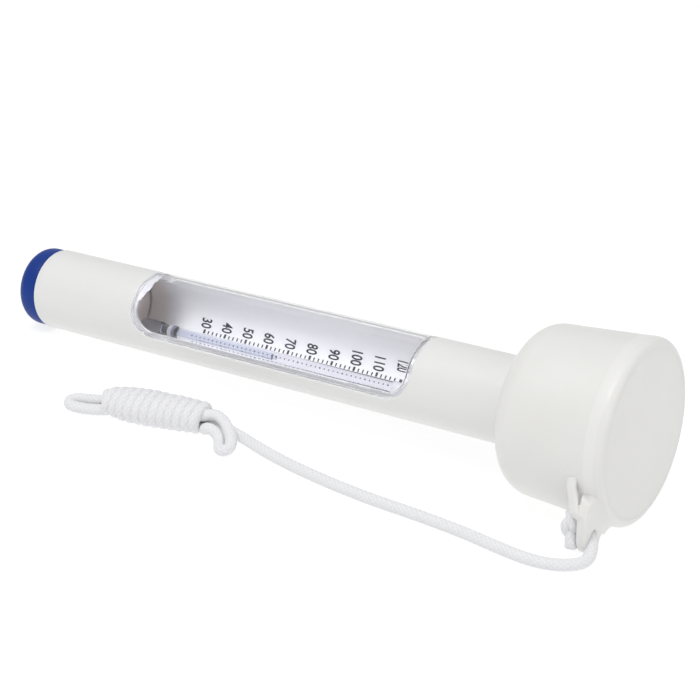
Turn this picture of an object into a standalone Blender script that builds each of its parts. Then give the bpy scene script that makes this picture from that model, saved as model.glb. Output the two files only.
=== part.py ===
"""Floating pool thermometer, lying on a flat surface with its tether cord beside it.

Units are metres, +Z is up. The tube's axis runs almost along +X: the wide float
head lifts that end, so the whole thermometer leans by LEAN about Y. Everything on
the thermometer is modelled in its own straight frame (X along the tube from the
end cap to the head) and stands under the empty "resting_pose", which leans it.
A direction round the tube is the angle PHI in degrees, from straight down (0)
towards -Y (90), so 180 is straight up.
"""

import math

import bmesh
import bpy
from mathutils import Matrix, Vector

MM = 0.001

# ---- overall ----
LENGTH = 225.15  # end cap's face to float's end face
SEGMENTS = 48  # facets round the large turned pieces
GAP = 0.32  # clearance between neighbouring pieces

# ---- tube ----
TUBE_R = 13.25
TUBE_BORE_R = 11.25
TUBE_START = 8.4
TUBE_END = 212.0

# ---- window: a rounded rectangle wrapped on the tube ----
WINDOW_START = 49.8
WINDOW_END = 154.9
WINDOW_PHI = 157.7
WINDOW_HALF = 80.0
WINDOW_CORNER = 9.0
LENS_WALL = 1.7
LENS_RIM_R = 9.9

# ---- float head ----
HEAD_START = 187.9
SHOULDER_R = 25.34
SHOULDER_FILLET = 7.94
RIM_R = 27.26
RIM_FILLET = 2.35
HEAD_WALL = 2.0
LID_R = 24.6
LID_THICK = 2.4

# ---- tether ear below the head's rim, a flat plate across the axis ----
EAR_START = 218.9
EAR_END = 222.1
EYE_Y = -24.4
EYE_Z = -21.8
EAR_ROUND = 5.0
EYE_R = 2.2
KNOT_X = 215.0
KNOT_Y = -24.6
KNOT_Z = -19.6

# ---- scale and thermometer ----
CARD_R = 10.5
CARD_THICK = 0.4
CARD_PHI = -22.3
CARD_HALF = 85.0
SCALE_30 = 63.4
SCALE_STEP = 8.39  # ten degrees Fahrenheit
LEVEL_F = 69.5
STEM_OFF = 7.6  # stem's axis from the tube's axis
STEM_PHI = -22.3
STEM_R = 1.8
BORE_R = 0.78
STEM_END = 141.0

# ---- cord ----
CORD_D = 3.5
HANK_FROM = (64.6, -44.1)
HANK_TO = (97.4, -33.7)
HANK_HALF_WIDTH = 6.5
HANK_HALF_HEIGHT = 5.0

LEAN = math.atan((RIM_R - TUBE_R) / ((LENGTH - RIM_FILLET) - (TUBE_START + 0.4)))
FACET = math.cos(math.pi / SEGMENTS)
# Lift that puts the tube's end edge on the surface, and the shift that centres the box.
LIFT = TUBE_R * FACET * math.cos(LEAN) - (TUBE_START + 0.4) * math.sin(LEAN)
SHIFT_X = 112.86
SHIFT_Y = 1.27


def clear_scene():
    for obj in list(bpy.data.objects):
        bpy.data.objects.remove(obj, do_unlink=True)


def material(name, colour, roughness, metallic=0.0, alpha=1.0, transmission=0.0):
    mat = bpy.data.materials.new(name)
    mat.use_nodes = True
    shader = mat.node_tree.nodes["Principled BSDF"]
    shader.inputs["Base Color"].default_value = (*colour, 1.0)
    shader.inputs["Roughness"].default_value = roughness
    shader.inputs["Metallic"].default_value = metallic
    shader.inputs["Alpha"].default_value = alpha
    shader.inputs["Transmission Weight"].default_value = transmission
    mat.diffuse_color = (*colour, alpha)
    return mat


def polar(x, r, phi):
    """Point in the thermometer's own frame, in millimetres."""
    a = math.radians(phi)
    return Vector((x, -r * math.sin(a), -r * math.cos(a)))


def to_world(p):
    """World point, in millimetres, of a point in the thermometer's own frame."""
    c, s = math.cos(LEAN), math.sin(LEAN)
    return Vector((c * p.x - s * p.z - SHIFT_X, p.y + SHIFT_Y, s * p.x + c * p.z + LIFT))


def arc(x, r, radius, start, stop, steps):
    """Points of a fillet in the (x, r) plane about (x, r), angles in degrees."""
    out = []
    for k in range(steps + 1):
        a = math.radians(start + (stop - start) * k / steps)
        out.append((x + radius * math.cos(a), r + radius * math.sin(a)))
    return out


def add_object(name, mesh, mat, parent=None, sharp=35.0):
    mesh.materials.clear()
    mesh.materials.append(mat)
    mesh.shade_smooth()
    mesh.set_sharp_from_angle(angle=math.radians(sharp))
    obj = bpy.data.objects.new(name, mesh)
    bpy.context.scene.collection.objects.link(obj)
    obj.parent = parent
    return obj


def finish_mesh(bm, name):
    bmesh.ops.remove_doubles(bm, verts=bm.verts, dist=1e-7)
    bmesh.ops.recalc_face_normals(bm, faces=bm.faces)
    mesh = bpy.data.meshes.new(name)
    bm.to_mesh(mesh)
    bm.free()
    return mesh


def turned_mesh(name, profile, segments=SEGMENTS, centre=None):
    """Solid of revolution about the X axis from a profile of (x, r) points in millimetres.

    A profile that starts and ends on the axis is left open there, any other is a closed ring.
    """
    bm = bmesh.new()
    turn = Matrix.Rotation(math.pi / segments, 3, "X")
    verts = [bm.verts.new(turn @ Vector((x * MM, 0.0, -r * MM))) for x, r in profile]
    edges = [bm.edges.new(pair) for pair in zip(verts, verts[1:])]
    if profile[0][1] > 0 or profile[-1][1] > 0:
        edges.append(bm.edges.new((verts[-1], verts[0])))
    bmesh.ops.spin(
        bm,
        geom=verts + edges,
        cent=(0, 0, 0),
        axis=(1, 0, 0),
        angle=2 * math.pi,
        steps=segments,
        use_duplicate=False,
    )
    bmesh.ops.remove_doubles(bm, verts=bm.verts, dist=1e-7)
    bmesh.ops.dissolve_degenerate(bm, edges=bm.edges, dist=1e-7)
    if centre is not None:
        bmesh.ops.translate(bm, verts=bm.verts, vec=centre * MM)
    return finish_mesh(bm, name)


def window_columns(inset, steps):
    """Columns (phi, first x, last x) of the window's outline moved inwards by inset."""
    half = math.radians(WINDOW_HALF) * TUBE_R - inset
    corner = WINDOW_CORNER - inset
    lows, highs = WINDOW_START + inset, WINDOW_END - inset
    arcs = []
    corner_steps = max(4, steps // 4)
    for k in range(corner_steps + 1):
        a = math.pi / 2 * k / corner_steps
        arcs.append((half - corner + corner * math.cos(a), corner - corner * math.sin(a)))
    flat = half - corner
    columns = [(-v, cut) for v, cut in arcs]
    for k in range(1, steps):
        columns.append((-flat + 2 * flat * k / steps, 0.0))
    columns += [(v, cut) for v, cut in reversed(arcs)]
    out = []
    for v, cut in columns:
        out.append((WINDOW_PHI + math.degrees(v / TUBE_R), lows + cut, highs - cut))
    return out


def wrapped_panel(name, inset, r_in, r_out, steps=24):
    """Closed solid with the window's outline between two radii."""
    bm = bmesh.new()
    rings = []
    for phi, a, b in window_columns(inset, steps):
        rings.append([bm.verts.new(polar(x, r, phi) * MM) for x, r in ((a, r_in), (b, r_in), (b, r_out), (a, r_out))])
    for one, two in zip(rings, rings[1:]):
        for k in range(4):
            n = (k + 1) % 4
            bm.faces.new((one[k], one[n], two[n], two[k]))
    bm.faces.new(rings[0])
    bm.faces.new(list(reversed(rings[-1])))
    return finish_mesh(bm, name)


def wrapped_frame(name, outer, inner, r_in, r_out, steps=20):
    """Closed frame between two copies of the window's outline, moved by outer and inner."""
    loops = []
    for inset in (outer, inner):
        columns = window_columns(inset, steps)
        loop = [(phi, a) for phi, a, _ in columns] + [(phi, b) for phi, _, b in reversed(columns)]
        loops.append(loop)
    bm = bmesh.new()
    count = len(loops[0])
    grid = []
    for loop, r in ((loops[0], r_in), (loops[1], r_in), (loops[1], r_out), (loops[0], r_out)):
        grid.append([bm.verts.new(polar(x, r, phi) * MM) for phi, x in loop])
    for k in range(count):
        n = (k + 1) % count
        for j in range(4):
            m = (j + 1) % 4
            bm.faces.new((grid[j][k], grid[j][n], grid[m][n], grid[m][k]))
    return finish_mesh(bm, name)


def lofted_mesh(name, rings, cap=True):
    """Closed solid through rings of the same number of world or local points in millimetres."""
    bm = bmesh.new()
    made = [[bm.verts.new(p * MM) for p in ring] for ring in rings]
    count = len(made[0])
    for one, two in zip(made, made[1:]):
        for k in range(count):
            n = (k + 1) % count
            bm.faces.new((one[k], one[n], two[n], two[k]))
    if cap:
        bm.faces.new(made[0])
        bm.faces.new(list(reversed(made[-1])))
    return finish_mesh(bm, name)


def smooth_route(points, spacing):
    """Evenly spaced points along a centripetal Catmull-Rom curve through points."""
    pts = [Vector(p) for p in points]
    pts = [pts[0] * 2 - pts[1]] + pts + [pts[-1] * 2 - pts[-2]]
    dense = []
    for p0, p1, p2, p3 in zip(pts, pts[1:], pts[2:], pts[3:]):
        t0 = 0.0
        t1 = t0 + math.sqrt((p1 - p0).length)
        t2 = t1 + math.sqrt((p2 - p1).length)
        t3 = t2 + math.sqrt((p3 - p2).length)
        for k in range(24):
            t = t1 + (t2 - t1) * k / 24
            a1 = p0 * ((t1 - t) / (t1 - t0)) + p1 * ((t - t0) / (t1 - t0))
            a2 = p1 * ((t2 - t) / (t2 - t1)) + p2 * ((t - t1) / (t2 - t1))
            a3 = p2 * ((t3 - t) / (t3 - t2)) + p3 * ((t - t2) / (t3 - t2))
            b1 = a1 * ((t2 - t) / (t2 - t0)) + a2 * ((t - t0) / (t2 - t0))
            b2 = a2 * ((t3 - t) / (t3 - t1)) + a3 * ((t - t1) / (t3 - t1))
            dense.append(b1 * ((t2 - t) / (t2 - t1)) + b2 * ((t - t1) / (t2 - t1)))
    dense.append(pts[-2])
    total = sum((b - a).length for a, b in zip(dense, dense[1:]))
    count = max(2, round(total / spacing))
    step = total / count
    out, travelled, target = [dense[0]], 0.0, step
    for a, b in zip(dense, dense[1:]):
        length = (b - a).length
        while travelled + length >= target - 1e-9 and len(out) < count:
            out.append(a.lerp(b, (target - travelled) / length))
            target += step
        travelled += length
    out.append(dense[-1])
    return out


def cord_object(name, points, diameter, mat, sides=2):
    """Plain round cord along world points in millimetres."""
    curve = bpy.data.curves.new(name, "CURVE")
    curve.dimensions = "3D"
    curve.bevel_depth = diameter / 2 * MM
    curve.bevel_resolution = sides
    curve.use_fill_caps = True
    spline = curve.splines.new("POLY")
    spline.points.add(len(points) - 1)
    for point, p in zip(spline.points, points):
        point.co = (p.x * MM, p.y * MM, p.z * MM, 1.0)
    curve.materials.append(mat)
    obj = bpy.data.objects.new(name, curve)
    bpy.context.scene.collection.objects.link(obj)
    return obj


def rounded_bundle(name, start, end, half_width, half_height, height, mat, sides=20, nose=0.45):
    """Bundle of cord as one solid with round ends: an ellipse swept from start to end, lying on the surface."""
    a, b = Vector((*start, 0.0)), Vector((*end, 0.0))
    along = (b - a).normalized()
    across = Vector((-along.y, along.x, 0.0))
    length = (b - a).length
    rings = []
    stops = [(0.0, 0.30), (0.35, 0.66), (1.1, 0.86), (2.4, 0.97), (4.2, 1.0)]
    places = [(s * nose * half_width / 2.5, w) for s, w in stops]
    places += [(length - s, w) for s, w in reversed(places)]
    for s, w in places:
        ring = []
        for k in range(sides):
            t = 2 * math.pi * k / sides
            ring.append(a + along * s + across * (half_width * w * math.cos(t)) + Vector((0, 0, height + half_height * w * math.sin(t))))
        rings.append(ring)
    return add_object(name, lofted_mesh(name, rings), mat)


def boolean(obj, cutter, operation):
    cutter.hide_render = True
    cutter.display_type = "WIRE"
    modifier = obj.modifiers.new(operation.lower() + "_" + cutter.name, "BOOLEAN")
    modifier.operation = operation
    modifier.object = cutter
    modifier.solver = "EXACT"
    return modifier


def swept_bar(name, points, half_a, half_b, normal_at, sides=10):
    """Bar of rounded section along points, its wide side facing the direction normal_at gives."""
    rings = []
    count = len(points)
    for k, p in enumerate(points):
        ahead = points[min(k + 1, count - 1)] - points[max(k - 1, 0)]
        along = ahead.normalized()
        up = normal_at(p)
        side = along.cross(up).normalized()
        up = side.cross(along).normalized()
        ring = []
        for j in range(sides):
            t = 2 * math.pi * j / sides
            ring.append(p + side * (half_a * math.cos(t)) + up * (half_b * math.sin(t)))
        rings.append(ring)
    return lofted_mesh(name, rings)


def shell_radius(x):
    """Outer radius of the float's side wall."""
    a, b = HEAD_START + SHOULDER_FILLET, LENGTH - RIM_FILLET
    return SHOULDER_R + (RIM_R - SHOULDER_R) * (x - a) / (b - a)


def ear_outline():
    """The ear seen along the tube, as (y, z) points going once round it."""
    root = RIM_R - 1.1
    pts = []
    for k in range(6):
        a = math.radians(36.0 + 33.0 * k / 5)
        pts.append((-root * math.sin(a), -root * math.cos(a)))
    pts += [(-26.9, -10.5), (-28.4, -12.0), (-29.2, -14.2)]
    for k in range(11):
        a = math.radians(180.0 + 132.0 * k / 10)
        pts.append((EYE_Y + EAR_ROUND * math.cos(a), EYE_Z + EAR_ROUND * math.sin(a)))
    pts += [(-19.9, -24.1), (-18.6, -22.9), (-17.2, -22.1)]
    return pts


clear_scene()

# ---- materials ----
white_plastic = material("white_plastic", (0.80, 0.80, 0.77), 0.32)
blue_plastic = material("blue_plastic", (0.022, 0.075, 0.33), 0.35)
clear_plastic = material("clear_plastic", (0.95, 0.96, 0.98), 0.05, alpha=0.3, transmission=0.9)
adhesive = material("clear_adhesive", (0.90, 0.91, 0.93), 0.2, alpha=0.5, transmission=0.6)
card_stock = material("card_stock", (0.78, 0.78, 0.83), 0.6)
glass = material("glass", (0.95, 0.98, 1.0), 0.02, alpha=0.35, transmission=0.95)
spirit = material("blue_spirit", (0.05, 0.14, 0.50), 0.1)
dark_rubber = material("dark_rubber", (0.03, 0.035, 0.06), 0.6)
carrier_plastic = material("carrier_plastic", (0.72, 0.72, 0.70), 0.45)
steel = material("ballast_steel", (0.45, 0.45, 0.46), 0.4, metallic=1.0)
rubber = material("seal_rubber", (0.02, 0.02, 0.02), 0.7)
cord_fibre = material("cord_fibre", (0.82, 0.82, 0.84), 0.85)

# ---- the thermometer's own frame ----
pose = bpy.data.objects.new("resting_pose", None)
pose.location = (-SHIFT_X * MM, SHIFT_Y * MM, LIFT * MM)
pose.rotation_euler = (0.0, -LEAN, 0.0)
bpy.context.scene.collection.objects.link(pose)

# ---- body tube with its window ----
tube_profile = [
    (TUBE_START, TUBE_BORE_R),
    (TUBE_START, TUBE_R - 0.4),
    (TUBE_START + 0.12, TUBE_R - 0.12),
    (TUBE_START + 0.4, TUBE_R),
    (TUBE_END, TUBE_R),
    (TUBE_END, TUBE_BORE_R),
]
body_tube = add_object("body_tube", turned_mesh("body_tube", tube_profile), white_plastic, pose)
window_cutter = add_object("window_cutter", wrapped_panel("window_cutter", 0.0, 10.4, 15.0, 28), white_plastic, pose)
boolean(body_tube, window_cutter, "DIFFERENCE")

# ---- clear lens: a wrapped pane with a wall turned inwards round its edge ----
lens = add_object("window_lens", wrapped_panel("window_lens", 0.35, LENS_RIM_R, TUBE_R, 24), clear_plastic, pose)
hollow = wrapped_panel("lens_hollow_cutter", 0.35 + LENS_WALL, LENS_RIM_R - 1.5, TUBE_R - 1.6, 24)
boolean(lens, add_object("lens_hollow_cutter", hollow, clear_plastic, pose), "DIFFERENCE")

# ---- adhesive bead between the lens's wall and the inside of the tube ----
add_object("lens_adhesive", wrapped_frame("lens_adhesive", -1.5, -0.05, 10.15, TUBE_BORE_R - GAP, 16), adhesive, pose)

# ---- scale card: a curved sheet against the back of the bore ----
card_rings = []
for k in range(29):
    phi = CARD_PHI - CARD_HALF + 2 * CARD_HALF * k / 28
    card_rings.append(
        [
            polar(39.9, CARD_R, phi),
            polar(159.4, CARD_R, phi),
            polar(159.4, CARD_R + CARD_THICK, phi),
            polar(39.9, CARD_R + CARD_THICK, phi),
        ]
    )
add_object("scale_card", lofted_mesh("scale_card", card_rings), card_stock, pose)

# ---- glass stem with its bulb, hollow, the bore open at its far end ----
stem_axis = polar(0.0, STEM_OFF, STEM_PHI)
stem_profile = (
    [(40.9, 0.0)]
    + arc(43.1, 0.0, 2.2, 162, 96, 4)
    + [(43.4, 2.3), (49.9, 2.3)]
    + [(51.2, 1.9), (52.3, 1.3), (54.7, 1.3), (55.6, STEM_R), (STEM_END, STEM_R), (STEM_END, BORE_R)]
    + [(51.4, BORE_R), (50.0, 1.65), (43.6, 1.65), (42.2, 1.1), (41.6, 0.0)]
)
add_object("glass_stem", turned_mesh("glass_stem", stem_profile, 20, stem_axis), glass, pose)

level_x = SCALE_30 + (LEVEL_F - 30.0) / 10.0 * SCALE_STEP
reservoir_profile = [(42.1, 0.0), (42.6, 0.85), (43.9, 1.3), (49.6, 1.3), (50.6, 0.45), (51.6, 0.45), (51.6, 0.0)]
add_object("spirit_reservoir", turned_mesh("spirit_reservoir", reservoir_profile, 12, stem_axis), spirit, pose)
column_profile = [(51.95, 0.0), (51.95, 0.45), (level_x - 1.8, 0.45), (level_x - 1.8, 0.0)]
add_object("spirit_column", turned_mesh("spirit_column", column_profile, 12, stem_axis), spirit, pose)
# The meniscus slides along the bore, so its own origin is on the bore's axis.
meniscus_profile = [(-0.75, 0.0), (-0.75, 0.45), (0.6, 0.45), (0.75, 0.3), (0.75, 0.0)]
meniscus = add_object("spirit_meniscus", turned_mesh("spirit_meniscus", meniscus_profile, 12), spirit, pose)
meniscus.location = (stem_axis + Vector((level_x - 0.75, 0, 0))) * MM

# ---- dark collar in the stem's neck, and the clip on its far end ----
collar_profile = [(52.8, 1.3 + GAP), (52.8, 2.3), (54.4, 2.3), (54.4, 1.3 + GAP)]
add_object("stem_collar", turned_mesh("stem_collar", collar_profile, 20, stem_axis), dark_rubber, pose)
clip_profile = [
    (137.6, STEM_R + GAP),
    (137.6, 2.6),
    (142.2, 2.6),
    (142.8, 2.1),
    (142.8, 0.0),
    (STEM_END + GAP, 0.0),
    (STEM_END + GAP, STEM_R + GAP),
]
add_object("stem_clip", turned_mesh("stem_clip", clip_profile, 20, stem_axis), clear_plastic, pose)

# ---- bulkheads that close off the scale's chamber ----
for name, x in (("lower_bulkhead", 35.6), ("upper_bulkhead", 160.0)):
    rim = TUBE_BORE_R - GAP
    disc = [(x, 0.0), (x, rim - 0.5), (x + 0.5, rim), (x + 3.1, rim), (x + 3.6, rim - 0.5), (x + 3.6, 0.0)]
    add_object(name, turned_mesh(name, disc, 40), carrier_plastic, pose)

# ---- ballast weight ----
weight = [(17.0, 0.0), (17.0, 9.4), (17.8, 10.2), (28.2, 10.2), (29.0, 9.4), (29.0, 0.0)]
add_object("ballast_weight", turned_mesh("ballast_weight", weight, 32), steel, pose)

# ---- end cap with a hollow spigot, and its seal in a groove ----
cap_r = 12.75
spigot = TUBE_BORE_R - GAP
cap_profile = (
    [(0.0, 0.0), (0.0, cap_r - 4.0)]
    + arc(4.0, cap_r - 4.0, 4.0, 180 - 15, 90, 5)
    + [(TUBE_START - GAP, cap_r), (TUBE_START - GAP, spigot), (10.2, spigot), (10.2, 9.4), (12.2, 9.4), (12.2, spigot), (14.6, spigot)]
    + [(15.0, spigot - 0.4), (15.0, 8.0), (3.0, 8.0), (2.2, 7.2), (2.2, 0.0)]
)
add_object("end_cap", turned_mesh("end_cap", cap_profile), blue_plastic, pose)
seal = arc(11.2, 10.25, 0.55, 0, 300, 5)
add_object("end_cap_seal", turned_mesh("end_cap_seal", seal, 36), rubber, pose)

# ---- float shell: a cup with a round shoulder, a collar round the tube, an ear and a bar ----
collar_in = TUBE_R + GAP
inner_start = HEAD_START + HEAD_WALL
ledge_x = LENGTH - 0.35 - LID_THICK - GAP
shell_profile = (
    [(HEAD_START, collar_in), (HEAD_START, SHOULDER_R - SHOULDER_FILLET)]
    + arc(HEAD_START + SHOULDER_FILLET, SHOULDER_R - SHOULDER_FILLET, SHOULDER_FILLET, 180 - 12.9, 90, 6)
    + arc(LENGTH - RIM_FILLET, RIM_R - RIM_FILLET, RIM_FILLET, 90, 0, 5)
    + [(ledge_x, LID_R + GAP / 2 + 0.0), (ledge_x, LID_R - 1.6)]
    + [(ledge_x - 1.6, LID_R - 1.6), (ledge_x - 4.0, RIM_R - HEAD_WALL - 0.4)]
    + [(HEAD_START + SHOULDER_FILLET, SHOULDER_R - HEAD_WALL)]
    + arc(HEAD_START + SHOULDER_FILLET, SHOULDER_R - SHOULDER_FILLET, SHOULDER_FILLET - HEAD_WALL, 75, 180, 5)
    + [(inner_start, collar_in + 1.9), (200.0, collar_in + 1.9), (200.0, collar_in)]
)
float_shell = add_object("float_shell", turned_mesh("float_shell", shell_profile), white_plastic, pose)

outline = ear_outline()
ear_mesh = lofted_mesh("ear_tool", [[Vector((x, y, z)) for y, z in outline] for x in (EAR_START, EAR_END)])
ear = add_object("ear_tool", ear_mesh, white_plastic, pose)
eye_rings = []
for x in (EAR_START - 1.0, EAR_END + 1.0):
    ring = []
    for k in range(16):
        a = 2 * math.pi * (k + 0.5) / 16
        ring.append(Vector((x, EYE_Y + EYE_R * math.cos(a), EYE_Z + EYE_R * math.sin(a))))
    eye_rings.append(ring)
eye = add_object("eye_tool", lofted_mesh("eye_tool", eye_rings), white_plastic, pose)
bar_route = smooth_route(
    [polar(216.0, 26.2, 84.0), polar(216.2, 27.9, 78.5), polar(217.0, 29.5, 73.0), Vector((218.6, -28.9, -13.2)), Vector((220.4, -27.9, -15.0))], 1.6
)
bar_mesh = swept_bar("bar_tool", bar_route, 1.25, 0.8, lambda p: Vector((0.0, p.y, p.z)).normalized())
bar = add_object("bar_tool", bar_mesh, white_plastic, pose)
boolean(float_shell, ear, "UNION")
boolean(float_shell, bar, "UNION")
boolean(float_shell, eye, "DIFFERENCE")

# ---- lid: flat disc on the ledge inside the rim ----
lid_top = LENGTH - 0.3
lid_profile = [
    (lid_top - LID_THICK, 0.0),
    (lid_top - LID_THICK, LID_R - 0.35),
    (lid_top - 0.4, LID_R - 0.35),
    (lid_top, LID_R - 0.75),
    (lid_top, 0.0),
]
add_object("float_lid", turned_mesh("float_lid", lid_profile), white_plastic, pose)

# ---- ring on the tube above the shell's collar, and the plug in the tube's end ----
ring_profile = [(200.4, TUBE_R + GAP), (200.4, 15.9), (203.2, 15.9), (203.2, TUBE_R + GAP)]
add_object("float_joint_ring", turned_mesh("float_joint_ring", ring_profile, 40), rubber, pose)
plug_profile = [
    (204.5, 0.0),
    (204.5, TUBE_BORE_R - GAP - 0.6),
    (205.1, TUBE_BORE_R - GAP),
    (TUBE_END + GAP, TUBE_BORE_R - GAP),
    (TUBE_END + GAP, 12.9),
    (TUBE_END + 1.9, 12.9),
    (TUBE_END + 1.9, 0.0),
]
add_object("tube_top_plug", turned_mesh("tube_top_plug", plug_profile, 40), carrier_plastic, pose)

# ---- tether cord: through the ear's eye, round and along the surface to the hank ----
ground = CORD_D / 2 + 0.02
eye_centre = Vector(((EAR_START + EAR_END) / 2, EYE_Y, EYE_Z))
start = to_world(eye_centre + Vector((-2.3, 0, 0)))
through = to_world(eye_centre + Vector((2.3, 0, 0)))
shift = Vector((-SHIFT_X, SHIFT_Y, 0.0))


def on_surface(x, y, z=ground):
    return Vector((x, y, z)) + shift


route = [
    start,
    through,
    on_surface(225.0, -26.3, 3.5),
    on_surface(225.8, -29.2, 2.0),
    on_surface(224.6, -33.2),
    on_surface(221.4, -36.4),
    on_surface(216.0, -38.9),
    on_surface(207.0, -40.0),
    on_surface(193.0, -38.8),
    on_surface(173.0, -38.3),
    on_surface(154.0, -38.5),
    on_surface(137.8, -37.3),
    on_surface(124.7, -35.1),
    on_surface(113.5, -32.5),
    on_surface(107.0, -30.7),
    on_surface(100.6, -29.6, 2.2),
]
cord_object("tether_cord", smooth_route(route, 4.6), CORD_D, cord_fibre)

# stopper knot on the tube side of the ear
knot_centre = to_world(Vector((KNOT_X, KNOT_Y, KNOT_Z)))
knot_rings = []
for k in range(8):
    t = math.pi * (k + 0.5) / 8
    rad = math.sin(t)
    ring = []
    for j in range(12):
        a = 2 * math.pi * j / 12
        ring.append(knot_centre + Vector((-3.0 * math.cos(t), 3.7 * rad * math.cos(a), 3.7 * rad * math.sin(a))))
    knot_rings.append(ring)
add_object("tether_knot", lofted_mesh("tether_knot", knot_rings), cord_fibre)

# wrapped hank, its end loop, and the loose turn beside it
hank_from = (HANK_FROM[0] - SHIFT_X, HANK_FROM[1] + SHIFT_Y)
hank_to = (HANK_TO[0] - SHIFT_X, HANK_TO[1] + SHIFT_Y)
rounded_bundle("tether_hank", hank_from, hank_to, HANK_HALF_WIDTH, HANK_HALF_HEIGHT, HANK_HALF_HEIGHT + 0.05, cord_fibre)
rounded_bundle(
    "tether_end_loop",
    (53.6 - SHIFT_X, -48.9 + SHIFT_Y),
    (HANK_FROM[0] - SHIFT_X - 0.35, HANK_FROM[1] + SHIFT_Y - 0.1),
    3.3,
    1.8,
    3.4,
    cord_fibre,
    12,
)
turn_route = [
    on_surface(99.9, -34.1, 6.9),
    on_surface(102.1, -33.0, 6.3),
    on_surface(104.5, -33.4, 5.9),
    on_surface(106.8, -34.7, 5.2),
    on_surface(108.6, -36.3, 3.7),
    on_surface(109.8, -38.6, 2.2),
    on_surface(109.2, -40.9),
    on_surface(106.6, -41.0),
    on_surface(103.9, -38.8),
    on_surface(101.4, -36.6, 2.0),
]
cord_object("tether_turn", smooth_route(turn_route, 2.2), CORD_D, cord_fibre)
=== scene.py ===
import math

import bmesh
import bpy
from mathutils import Matrix, Vector, noise

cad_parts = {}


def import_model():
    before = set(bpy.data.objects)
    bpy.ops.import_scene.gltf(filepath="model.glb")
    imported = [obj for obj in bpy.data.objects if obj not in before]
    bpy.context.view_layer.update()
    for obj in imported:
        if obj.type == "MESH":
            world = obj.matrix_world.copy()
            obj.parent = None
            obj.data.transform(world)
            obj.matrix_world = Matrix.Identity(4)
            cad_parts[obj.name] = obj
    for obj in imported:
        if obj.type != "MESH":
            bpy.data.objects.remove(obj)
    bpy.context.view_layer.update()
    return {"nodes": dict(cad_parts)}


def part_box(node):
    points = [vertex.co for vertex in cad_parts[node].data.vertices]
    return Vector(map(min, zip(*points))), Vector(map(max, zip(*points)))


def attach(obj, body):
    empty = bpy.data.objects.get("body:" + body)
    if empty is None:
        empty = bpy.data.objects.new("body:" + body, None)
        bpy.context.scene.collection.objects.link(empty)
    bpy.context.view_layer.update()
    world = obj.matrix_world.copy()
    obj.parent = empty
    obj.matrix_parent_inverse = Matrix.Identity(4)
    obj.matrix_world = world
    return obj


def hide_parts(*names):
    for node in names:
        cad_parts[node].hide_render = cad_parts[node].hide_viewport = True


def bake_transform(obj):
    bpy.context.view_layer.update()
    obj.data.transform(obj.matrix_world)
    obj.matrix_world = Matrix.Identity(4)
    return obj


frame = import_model()
NODES = frame["nodes"]
BODY = "thermometer"
MM = 0.001

# ---------------------------------------------------------------- shared sizes, as in the CAD
LENGTH = 225.15
TUBE_R, BORE, TUBE_START, TUBE_END = 13.25, 11.25, 8.4, 212.0
WIN_A, WIN_B, WIN_PHI, WIN_HALF, WIN_CORNER = 49.8, 154.9, 157.7, 80.0, 9.0
HEAD_START, SHOULDER_R, SHOULDER_FILLET, RIM_R, RIM_FILLET = 187.9, 25.34, 7.94, 27.26, 2.35
LID_R = 24.6
EAR_A, EAR_B, EYE_Y, EYE_Z, EAR_ROUND, EYE_R = 218.9, 222.1, -24.4, -21.8, 5.0, 2.2
CARD_R = 10.5
SCALE_30, SCALE_STEP = 63.4, 8.39
STEM_OFF, STEM_PHI, STEM_R = 7.6, -22.3, 1.8
CORD_D = 3.5
SHIFT_X, SHIFT_Y = 112.86, 1.27
LEAN = math.atan((RIM_R - TUBE_R) / ((LENGTH - RIM_FILLET) - (TUBE_START + 0.4)))
LIFT = TUBE_R * math.cos(math.pi / 48) * math.cos(LEAN) - (TUBE_START + 0.4) * math.sin(LEAN)
C, S = math.cos(LEAN), math.sin(LEAN)


def world(p):
    """World point in metres of a point in the thermometer's own frame in millimetres."""
    return Vector(((C * p[0] - S * p[2] - SHIFT_X), p[1] + SHIFT_Y, S * p[0] + C * p[2] + LIFT)) * MM


def polar(x, r, phi):
    a = math.radians(phi)
    return Vector((x, -r * math.sin(a), -r * math.cos(a)))


def flat(x, y, z=0.0):
    return Vector((x - SHIFT_X, y + SHIFT_Y, z))


# ---------------------------------------------------------------- camera
cam_data = bpy.data.cameras.new("camera")
cam_data.lens = 97.46
cam_data.sensor_width = 36.0
cam_data.clip_start = 0.01
camera = bpy.data.objects.new("camera", cam_data)
bpy.context.scene.collection.objects.link(camera)
forward = Vector((-0.49246, 0.75656, -0.43023)).normalized()
right = Vector((0.82973, 0.55734, 0.03032))
right = (right - forward * right.dot(forward)).normalized()
up = right.cross(forward)
turn = Matrix((right, up, -forward)).transposed()
camera.matrix_world = Matrix.Translation(Vector((409.440 - SHIFT_X, -436.067 + SHIFT_Y, 272.375 - 0.055)) * MM) @ turn.to_4x4()
bpy.context.scene.camera = camera


# ---------------------------------------------------------------- materials
def new_material(name):
    mat = bpy.data.materials.new(name)
    mat.use_nodes = True
    nodes, links = mat.node_tree.nodes, mat.node_tree.links
    nodes.clear()
    out = nodes.new("ShaderNodeOutputMaterial")
    shader = nodes.new("ShaderNodeBsdfPrincipled")
    links.new(shader.outputs[0], out.inputs["Surface"])
    return mat, nodes, links, shader, out


def noise_node(nodes, links, coords, scale, detail=3.0, rough=0.5, stretch=None):
    tex = nodes.new("ShaderNodeTexNoise")
    tex.inputs["Scale"].default_value = scale
    tex.inputs["Detail"].default_value = detail
    tex.inputs["Roughness"].default_value = rough
    if stretch:
        mapping = nodes.new("ShaderNodeMapping")
        mapping.inputs["Scale"].default_value = stretch
        links.new(coords, mapping.inputs["Vector"])
        links.new(mapping.outputs[0], tex.inputs["Vector"])
    else:
        links.new(coords, tex.inputs["Vector"])
    return tex


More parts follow.
